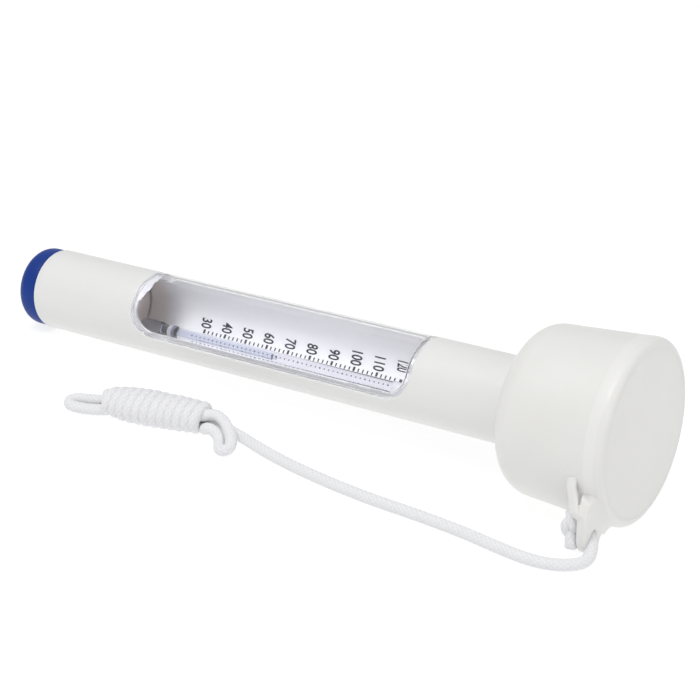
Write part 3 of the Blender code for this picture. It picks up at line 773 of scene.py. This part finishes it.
# ---------------------------------------------------------------- sealant: thin line under the tube wall, and the squeezed-out bead inside the far corner
bm = bmesh.new()
seat = [outline_loop(-0.9, 11.2), outline_loop(1.15, 11.24), outline_loop(1.3, 11.15), outline_loop(1.3, 11.02), outline_loop(1.15, 10.94), outline_loop(-0.9, 10.94)]
for loop in seat:
    for i, p in enumerate(loop):
        radial = Vector((0.0, p.y, p.z)).normalized()
        loop[i] = p + Vector((0.07, 0, 0)) * noise.noise(p * 0.9) - radial * 0.02 * (1 + noise.noise(p * 1.7))
strip(bm, seat + [seat[0]])
rows = []
for k in range(91):
    phi = 129.0 + 81.0 * k / 90
    t = k / 90
    width = 0.25 + 2.1 * math.sin(math.pi * min(1.0, t * 1.15)) ** 0.8 * (1 - 0.35 * t)
    jag = 0.55 * noise.noise(Vector((t * 23.0, 0.3, 0.0))) + 0.30 * noise.noise(Vector((t * 61.0, 4.3, 0.0)))
    width = max(0.15, width + jag * min(1.0, 4 * t, 4 * (1 - t)))
    rim_x = next(a for p, a, b in columns(g + 1.65) if p >= min(phi, 232.0))
    row = []
    for i in range(9):
        f = i / 8
        lump = 0.16 * noise.noise(Vector((t * 34.0, f * 5.0, 7.0)))
        row.append(polar(rim_x + width * f, 12.26 - 0.02 * f, phi))
    for i in range(8, -1, -1):
        f = i / 8
        lump = 0.22 * noise.noise(Vector((t * 34.0, f * 5.0, 7.0)))
        row.append(polar(rim_x + width * f * 0.98, 12.18 - (1 - f) ** 1.5 * (0.8 + lump) - max(0.0, lump * f), phi))
    rows.append([bm.verts.new(p) for p in row])
for one, two in zip(rows, rows[1:]):
    for k in range(len(one)):
        n = (k + 1) % len(one)
        bm.faces.new((one[k], one[n], two[n], two[k]))
bm.faces.new(rows[0])
bm.faces.new(list(reversed(rows[-1])))
add_piece("window_sealant", bm, bead_milky, ["lens_adhesive"])

# ---------------------------------------------------------------- scale card
def ease(t):
    t = min(1.0, max(0.0, t))
    return t * t * (3 - 2 * t)


def card_radius(x, phi):
    """The card lies in the bore, and its far edge springs out towards the pane inside the opening."""
    return CARD_R + 1.32 * ease((-129.0 - phi) / 21.0) * ease((x - 52.4) / 3.0) * ease((152.3 - x) / 3.0)


bm = bmesh.new()
# painted shade mask: 1 at the card's left end under the tube wall, fading to 0 by x = 50 mm
painted_end_shade_layer = bm.verts.layers.float.new("painted_end_shade")
rows = []
for k in range(111):
    phi = -152.0 + (76.4 + 152.0) * k / 110
    xs = [39.9 + (159.4 - 39.9) * i / 100 for i in range(101)]
    row = [bm.verts.new(polar(x, card_radius(x, phi), phi)) for x in xs] + [bm.verts.new(polar(x, card_radius(x, phi) + 0.35, phi)) for x in reversed(xs)]
    for v, x in zip(row, xs + xs[::-1]):
        v[painted_end_shade_layer] = 1.0 - ease((x - 44.5) / 5.5)
    rows.append(row)
for one, two in zip(rows, rows[1:]):
    for k in range(len(one)):
        n = (k + 1) % len(one)
        bm.faces.new((one[k], one[n], two[n], two[k]))
bm.faces.new(rows[0])
bm.faces.new(list(reversed(rows[-1])))
add_piece("scale_backing_card", bm, card_stock, ["scale_card"])

# ---------------------------------------------------------------- printed scale
bm = bmesh.new()
INK_R = CARD_R - 0.035


def ink_patch(x0, x1, phi0, phi1, r=INK_R, across=6):
    cols = []
    for k in range(across + 1):
        phi = phi0 + (phi1 - phi0) * k / across
        cols.append([bm.verts.new(polar(x, rr, phi)) for x, rr in ((x0, r), (x1, r), (x1, r + 0.02), (x0, r + 0.02))])
    for one, two in zip(cols, cols[1:]):
        for k in range(4):
            n = (k + 1) % 4
            bm.faces.new((one[k], one[n], two[n], two[k]))
    bm.faces.new(cols[0])
    bm.faces.new(list(reversed(cols[-1])))


for k in range(46):
    degrees_f = 30 + 2 * k
    x = SCALE_30 + (degrees_f - 30) / 10 * SCALE_STEP
    bold = degrees_f % 10 == 0 and degrees_f < 120
    half = 0.40 if bold else 0.24
    ink_patch(x - half, x + half, -53.2 if bold else -51.8, -45.4)
    ink_patch(x - half, x + half, 1.0, 8.6 if bold else 7.2)
for f in bm.faces:
    f.smooth = False
ticks = add_piece("scale_ticks", bm, print_ink, ())


def numeral(text, x, phi_end, height, narrow):
    """Printed number: its figures' tops point along +X, and it reads towards the stem."""
    curve = bpy.data.curves.new("figure_" + text, "FONT")
    curve.body = text
    curve.size = 1.0
    curve.align_x = "RIGHT"
    curve.align_y = "CENTER"
    curve.resolution_u = 5
    curve.offset = 0.022
    temp = bpy.data.objects.new("figure_" + text, curve)
    bpy.context.scene.collection.objects.link(temp)
    bpy.context.view_layer.update()
    mesh = bpy.data.meshes.new_from_object(temp.evaluated_get(bpy.context.evaluated_depsgraph_get()))
    bpy.data.objects.remove(temp)
    bpy.data.curves.remove(curve)
    fig = bmesh.new()
    fig.from_mesh(mesh)
    bpy.data.meshes.remove(mesh)
    bmesh.ops.triangulate(fig, faces=fig.faces)
    lows = min(v.co.y for v in fig.verts)
    highs = max(v.co.y for v in fig.verts)
    scale = height / (highs - lows)
    mid = (lows + highs) / 2
    cuts = [e for e in fig.edges if e.calc_length() > 0.2]
    bmesh.ops.subdivide_edges(fig, edges=cuts, cuts=2)
    top_faces = list(fig.faces)
    out = bmesh.ops.extrude_face_region(fig, geom=top_faces)
    moved = [v for v in out["geom"] if isinstance(v, bmesh.types.BMVert)]
    deep = set(moved)
    for v in fig.verts:
        across, along = v.co.x * scale * narrow, (v.co.y - mid) * scale
        r = INK_R + (0.02 if v in deep else 0.0)
        v.co = world(polar(x + along, r, phi_end + math.degrees(across / CARD_R)))
    bmesh.ops.recalc_face_normals(fig, faces=fig.faces)
    mesh = bpy.data.meshes.new("scale_figure_" + text)
    fig.to_mesh(mesh)
    fig.free()
    mesh.materials.append(print_ink)
    obj = bpy.data.objects.new("scale_figure_" + text, mesh)
    bpy.context.scene.collection.objects.link(obj)
    finish_piece(obj, ())
    return obj


for k in range(9):
    numeral(str(30 + 10 * k), SCALE_30 + k * SCALE_STEP, -55.8, 4.1, 0.625)
numeral("120", SCALE_30 + 9 * SCALE_STEP - 0.2, -64.0, 3.7, 0.53)

# ---------------------------------------------------------------- glass stem, spirit, collar and clip
axis0 = polar(0, STEM_OFF, STEM_PHI)
stem_c = (axis0.y, axis0.z)
stem_profile = (
    [(40.9, 0.0)]
    + arc(43.2, 0.0, 2.35, 170, 95, 12)
    + [(43.6, 2.36), (49.4, 2.36)]
    + [(50.3, 2.25), (51.3, 1.98), (52.2, 1.66), (52.9, 1.42), (53.3, 1.32), (55.3, 1.32), (55.8, 1.5), (56.2, 1.7), (56.6, STEM_R)]
    + [(140.3, STEM_R), (140.8, STEM_R - 0.15), (141.0, STEM_R - 0.5), (141.0, 0.0)]
)
add_piece("stem_glass_tube", turned(stem_profile, 48, stem_c), stem_glass, ["glass_stem"])
bm = bmesh.new()
toward = Vector((-math.cos(math.radians(29.6)), math.sin(math.radians(29.6))))
over = Vector((math.sin(math.radians(29.6)), math.cos(math.radians(29.6))))
for row_angle, spread in ((8.0, 8.0), (-66.0, 10.0)):
    for k in range(46):
        x = SCALE_30 + k * SCALE_STEP / 5
        half = 0.30 if k % 5 == 0 else 0.21
        cols = []
        for i in range(4):
            a = math.radians(row_angle - spread + 2 * spread * i / 3)
            d = toward * math.cos(a) + over * math.sin(a)
            cols.append([bm.verts.new((xx, stem_c[0] + d.x * rr, stem_c[1] + d.y * rr)) for xx, rr in ((x - half, STEM_R + 0.005), (x + half, STEM_R + 0.005), (x + half, STEM_R + 0.025), (x - half, STEM_R + 0.025))])
        for one, two in zip(cols, cols[1:]):
            for i in range(4):
                n = (i + 1) % 4
                bm.faces.new((one[i], one[n], two[n], two[i]))
        bm.faces.new(cols[0])
        bm.faces.new(list(reversed(cols[-1])))
for f in bm.faces:
    f.smooth = False
add_piece("stem_graduation", bm, stem_ink, ())
fill = [(41.7, 0.0), (42.0, 0.7), (42.8, 1.45), (43.8, 1.8), (49.4, 1.8), (50.4, 1.5), (51.2, 0.9), (51.8, 0.5), (51.9, 0.0)]
add_piece("spirit_in_bulb", turned(fill, 36, stem_c), spirit_blue, ["spirit_reservoir"])
NODES["spirit_meniscus"].data.materials.clear()
NODES["spirit_meniscus"].data.materials.append(spirit_blue)

# The thread of spirit is a liquid, so it lengthens and shortens with its level: its foot stays in the bulb, its top follows the meniscus.
low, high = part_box("spirit_column")
unit = (world((1.0, 0.0, 0.0)) - world((0.0, 0.0, 0.0))).normalized()
origin = world((0.0, stem_c[0], stem_c[1]))
thread_top = ((high[0] - origin.x) / unit.x) / MM
THREAD_R, THREAD_FOOT, STILL = 0.72, 49.6, 43.5
thread = [(THREAD_FOOT, 0.0), (THREAD_FOOT, THREAD_R)]
thread += [(THREAD_FOOT + (thread_top - THREAD_FOOT) * k / 120, THREAD_R) for k in range(1, 120)]
thread += [(thread_top - 0.02, THREAD_R), (thread_top - 0.02, 0.0)]
bm = turned(thread, 36, stem_c)
bmesh.ops.remove_doubles(bm, verts=bm.verts, dist=0.0004)
bmesh.ops.recalc_face_normals(bm, faces=bm.faces)
for v in bm.verts:
    v.co = world(v.co)
mesh = bpy.data.meshes.new("spirit_thread")
bm.to_mesh(mesh)
bm.free()
mesh.shade_smooth()
mesh.set_sharp_from_angle(angle=math.radians(40))
mesh.materials.append(spirit_blue)
spirit_thread = bpy.data.objects.new("spirit_thread", mesh)
bpy.context.scene.collection.objects.link(spirit_thread)
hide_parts("spirit_column")
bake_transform(spirit_thread)
collar = [(53.35, 1.36), (53.3, 1.95), (53.42, 2.18), (53.62, 2.26), (54.4, 2.26), (54.6, 2.18), (54.68, 1.95), (54.68, 1.36)]
add_piece("stem_sleeve", turned(collar, 48, stem_c), dark_sleeve, ["stem_collar"])
# painted shade: a dark ring at the collar's right end, where the collar is in shade
ring = [(54.74, 1.38), (54.74, 1.95), (54.9, 2.12), (55.5, 2.12), (55.72, 1.98), (55.8, 1.66), (55.3, 1.38)]
add_piece("stem_sleeve_shade_ring", turned(ring, 48, stem_c), painted_shade_ring, ())
clip = [(140.0, 1.86), (140.0, 2.0), (140.2, 2.12), (142.0, 2.12), (142.6, 1.9), (142.9, 1.4), (143.0, 0.8), (143.0, 0.0), (141.2, 0.0), (141.2, 1.86)]
add_piece("stem_end_clip", turned(clip, 48, stem_c), bead_milky, ["stem_clip"])

# ---------------------------------------------------------------- end cap
cap_r = 12.95
cap = (
    [(0.0, 0.0), (0.0, cap_r - 4.6), (0.02, cap_r - 4.2)]
    + arc(4.0, cap_r - 4.0, 4.0, 176, 92, 20)
    + [(4.3, cap_r), (TUBE_START - 0.34, cap_r), (TUBE_START - 0.12, cap_r - 0.12), (TUBE_START - 0.1, cap_r - 0.5), (TUBE_START - 0.1, 10.9)]
    + [(10.2, 10.9), (10.2, 9.4), (12.2, 9.4), (12.2, 10.9), (14.6, 10.9), (15.0, 10.5), (15.0, 8.0), (3.0, 8.0), (2.2, 7.2), (2.2, 0.0)]
)
add_piece("blue_end_cap", turned(cap, 192), blue_cap, ["end_cap"], 30)

# ---------------------------------------------------------------- float head
collar_in = TUBE_R + 0.12


def side_radius(x):
    start = HEAD_START + SHOULDER_FILLET
    return SHOULDER_R + (RIM_R - SHOULDER_R) * (x - start) / (LENGTH - RIM_FILLET - start)


shell = (
    [(HEAD_START + 0.35, collar_in), (HEAD_START + 0.05, collar_in + 0.3), (HEAD_START, collar_in + 0.7), (HEAD_START, SHOULDER_R - SHOULDER_FILLET - 0.3)]
    + arc(HEAD_START + SHOULDER_FILLET, SHOULDER_R - SHOULDER_FILLET, SHOULDER_FILLET, 178, 92, 26)
    + [(x, side_radius(x)) for x in (199.5, 203.0, 207.0, 211.0, 215.0, 217.5, 218.9, 219.15)]
    + [(219.28, side_radius(219.3) + 0.01), (219.5, side_radius(219.5) + 0.05), (219.9, side_radius(219.9) + 0.08)]
    + [(222.0, side_radius(222.0) + 0.08), (222.4, side_radius(222.4) + 0.06), (222.72, RIM_R + 0.02)]
    + arc(LENGTH - RIM_FILLET, RIM_R - RIM_FILLET, RIM_FILLET, 86, 2, 12)
    + [(LENGTH - 0.005, LID_R + 0.1), (LENGTH - 0.01, LID_R - 0.2), (LENGTH - 2.9, LID_R - 0.2), (LENGTH - 2.9, LID_R - 1.6)]
    + [(LENGTH - 5.0, LID_R - 1.6), (LENGTH - 7.5, RIM_R - 2.5), (HEAD_START + SHOULDER_FILLET, SHOULDER_R - 2.0)]
    + arc(HEAD_START + SHOULDER_FILLET, SHOULDER_R - SHOULDER_FILLET, SHOULDER_FILLET - 2.0, 85, 180, 8)
    + [(HEAD_START + 2.0, collar_in + 1.9), (200.0, collar_in + 1.9), (200.0, collar_in)]
)


def ear_outline(grow=0.0, fine=30):
    """The ear seen along the tube, as (y, z) points, drawn in by -grow."""
    root = RIM_R - 1.1
    rnd = EAR_ROUND + grow
    pts = []
    for k in range(12):
        a = math.radians(36.0 + 35.0 * k / 11)
        pts.append((-root * math.sin(a), -root * math.cos(a)))
    pts += [(-26.0 + grow * 0.3, -9.75 - grow), (-27.3 - grow * 0.7, -10.8 - grow * 0.7), (-28.4 - grow, -12.3 - grow * 0.4), (-29.1 - grow, -14.4)]
    for k in range(fine + 1):
        a = math.radians(180.0 + 128.0 * k / fine)
        pts.append((EYE_Y + rnd * math.cos(a), EYE_Z + rnd * math.sin(a)))
    pts += [(-20.4 + grow * 0.6, -24.6 - grow * 0.8), (-19.4 + grow * 0.5, -23.6 - grow * 0.8), (-18.1, -22.9 - grow), (-16.7, -22.4 - grow)]
    return pts


bm = turned(shell, 192)
layer = bm.verts.layers.float.new("painted_rim_light")
# painted light: marks the raised rim bead, which the material colours lighter as a stand-in for the bright band along
# the rim
for v in bm.verts:
    if 219.4 <= v.co.x <= 222.6 and math.hypot(v.co.y, v.co.z) > 26.5:
        v[layer] = 1.0
shell_obj = add_piece("float_head_shell", bm, white_head, ["float_shell"], 32)


def tool_from_rings(name, rings):
    bm = bmesh.new()
    made = [[bm.verts.new(world(p)) for p in ring] for ring in rings]
    count = len(made[0])
    for one, two in zip(made, made[1:]):
        for k in range(count):
            n = (k + 1) % count
            bm.faces.new((one[k], one[n], two[n], two[k]))
    bm.faces.new(made[0])
    bm.faces.new(list(reversed(made[-1])))
    bmesh.ops.recalc_face_normals(bm, faces=bm.faces)
    mesh = bpy.data.meshes.new(name)
    bm.to_mesh(mesh)
    bm.free()
    mesh.materials.append(white_head)
    obj = bpy.data.objects.new(name, mesh)
    bpy.context.scene.collection.objects.link(obj)
    return obj


soft_edge = 0.55
ear_rings = []
for x, g2 in (
    (EAR_A, -soft_edge),
    (EAR_A + 0.16, -0.16),
    (EAR_A + 0.55, 0.0),
    (EAR_B - 0.55, 0.0),
    (EAR_B - 0.16, -0.16),
    (EAR_B, -soft_edge),
):
    ear_rings.append([Vector((x, y, z)) for y, z in ear_outline(g2)])
ear = tool_from_rings("tether_ear", ear_rings)
eye_rings = []
for x, rr in ((EAR_A - 0.5, EYE_R), (EAR_A, EYE_R - 0.15), (EAR_A + 0.4, EYE_R - 0.4), (EAR_B - 0.4, EYE_R - 0.4), (EAR_B, EYE_R - 0.2), (EAR_B + 0.5, EYE_R)):
    eye_rings.append([Vector((x, EYE_Y + rr * math.cos(2 * math.pi * k / 32), EYE_Z + rr * math.sin(2 * math.pi * k / 32))) for k in range(32)])
eye = tool_from_rings("eye_cutter", eye_rings)
bar_line = smooth_route(
    [polar(216.0, 26.3, 80.5), polar(216.3, 27.9, 76.0), polar(217.1, 29.2, 71.0), Vector((218.6, -28.9, -13.4)), Vector((220.6, -27.7, -15.4))], 0.35
)
bar_rings = []
for i, p in enumerate(bar_line):
    along = (bar_line[min(i + 1, len(bar_line) - 1)] - bar_line[max(i - 1, 0)]).normalized()
    outwards = Vector((0.0, p.y, p.z)).normalized()
    side = along.cross(outwards).normalized()
    outwards = side.cross(along).normalized()
    ring = []
    for j in range(24):
        t = 2 * math.pi * j / 24
        cx, sx = math.cos(t), math.sin(t)
        ring.append(p + side * (1.5 * math.copysign(abs(cx) ** 0.75, cx)) + outwards * (0.85 * math.copysign(abs(sx) ** 0.75, sx)))
    bar_rings.append(ring)
bar = tool_from_rings("ear_strut", bar_rings)


def apply_boolean(obj, other, operation):
    mod = obj.modifiers.new("join", "BOOLEAN")
    mod.operation = operation
    mod.object = other
    mod.solver = "EXACT"
    bpy.context.view_layer.update()
    mesh = bpy.data.meshes.new_from_object(obj.evaluated_get(bpy.context.evaluated_depsgraph_get()))
    obj.modifiers.clear()
    old = obj.data
    obj.data = mesh
    bpy.data.meshes.remove(old)
    bpy.data.objects.remove(other)


def gusset_ring(phi):
    """Cross-section of the web that carries the ear's outer face up into the rim."""
    profile = [(219.2, 25.3), (219.2, 27.6), (221.6, 29.9), (222.12, 30.4), (222.3, 29.6), (222.65, 28.7), (223.1, 27.95), (223.65, 27.35), (224.2, 26.85), (224.55, 26.3), (224.6, 25.3)]
    fade = min(1.0, max(0.0, (71.5 - phi) / 5.0))
    fade = fade * fade * (3 - 2 * fade)
    return [polar(x, 26.6 + (r - 26.6) * (0.25 + 0.75 * fade) if r > 26.6 else r, phi) for x, r in profile]


web = tool_from_rings("ear_web", [gusset_ring(36.5 + 35.0 * k / 28) for k in range(29)])
apply_boolean(ear, web, "UNION")
apply_boolean(ear, bar, "UNION")
apply_boolean(ear, eye, "DIFFERENCE")
remesh = ear.modifiers.new("even_faces", "REMESH")
remesh.mode = "VOXEL"
remesh.voxel_size = 0.00017
soften = ear.modifiers.new("soften", "SMOOTH")
soften.factor = 0.5
soften.iterations = 26
bpy.context.view_layer.update()
even_mesh = bpy.data.meshes.new_from_object(ear.evaluated_get(bpy.context.evaluated_depsgraph_get()))
ear.modifiers.clear()
old_mesh = ear.data
ear.data = even_mesh
bpy.data.meshes.remove(old_mesh)
ear.data.name = "tether_ear"
ear.data.shade_smooth()
finish_piece(ear, ())
shell_obj.data.set_sharp_from_angle(angle=math.radians(32))

# ---------------------------------------------------------------- lid
lid_r = LID_R - 0.208
lid = (
    [(LENGTH - 2.7, 0.0), (LENGTH - 2.7, lid_r), (LENGTH - 0.01, lid_r)]
    + [(LENGTH - 0.01, lid_r * k / 8) for k in range(7, 0, -1)]
    + [(LENGTH - 0.01, 0.0)]
)
add_piece("float_head_lid", turned(lid, 160), white_head, ["float_lid"], 30)

# ---------------------------------------------------------------- inner parts keep their CAD shape
for node, mat in (
    ("lower_bulkhead", carrier),
    ("upper_bulkhead", carrier),
    ("tube_top_plug", carrier),
    ("ballast_weight", ballast_steel),
    ("end_cap_seal", black_seal),
    ("float_joint_ring", black_seal),
):
    NODES[node].data.materials.clear()
    NODES[node].data.materials.append(mat)

# ---------------------------------------------------------------- floor and light
def floor_plane(name, height, albedo, glow):
    bm = bmesh.new()
    bmesh.ops.create_grid(bm, x_segments=8, y_segments=8, size=4.0)
    for v in bm.verts:
        v.co.z = height
    mesh = bpy.data.meshes.new(name)
    bm.to_mesh(mesh)
    bm.free()
    plane = bpy.data.objects.new(name, mesh)
    bpy.context.scene.collection.objects.link(plane)
    mat, nodes, links, shader, _ = new_material(name + "_white")
    coords = nodes.new("ShaderNodeTexCoord").outputs["Object"]
    grain = noise_node(nodes, links, coords, 12.0, 3.0)
    links.new(ramp_node(nodes, links, grain.outputs["Fac"], [(0.3, (albedo,) * 3), (0.7, (albedo + 0.01,) * 3)]).outputs[0], shader.inputs["Base Color"])
    shader.inputs["Roughness"].default_value = 0.9
    shader.inputs["Specular IOR Level"].default_value = 0.1
    shader.inputs["Emission Color"].default_value = (1.0, 1.0, 1.0, 1.0)
    shader.inputs["Emission Strength"].default_value = glow
    mesh.materials.append(mat)
    return plane


floor_plane("floor", 0.0, 0.24, 0.82)

scene_world = bpy.data.worlds.new("studio")
bpy.context.scene.world = scene_world
scene_world.use_nodes = True
scene_world.node_tree.nodes["Background"].inputs[0].default_value = (1.0, 1.0, 1.0, 1)
scene_world.node_tree.nodes["Background"].inputs[1].default_value = 0.57


def area_light(name, place, target, size, power, colour=(1, 1, 1)):
    data = bpy.data.lights.new(name, "AREA")
    data.shape = "RECTANGLE"
    data.size, data.size_y = size
    data.energy = power
    data.color = colour
    obj = bpy.data.objects.new(name, data)
    obj.location = place
    obj.rotation_euler = (Vector(target) - Vector(place)).to_track_quat("-Z", "Y").to_euler()
    bpy.context.scene.collection.objects.link(obj)
    return obj


area_light("key", (-0.16, -0.50, 1.04), (-0.01, 0.0, 0.02), (0.34, 0.34), 4.05)
area_light("top", (0.0, -0.12, 1.2), (0.0, 0.0, 0.02), (1.0, 0.7), 2.7)

area_light("side", (0.85, -0.12, 0.36), (0.10, 0.0, 0.03), (0.7, 0.5), 1.0)

view = bpy.context.scene.view_settings
view.view_transform = "Standard"
view.look = "None"
view.exposure = 0.0
view.gamma = 1.0

bpy.context.view_layer.update()
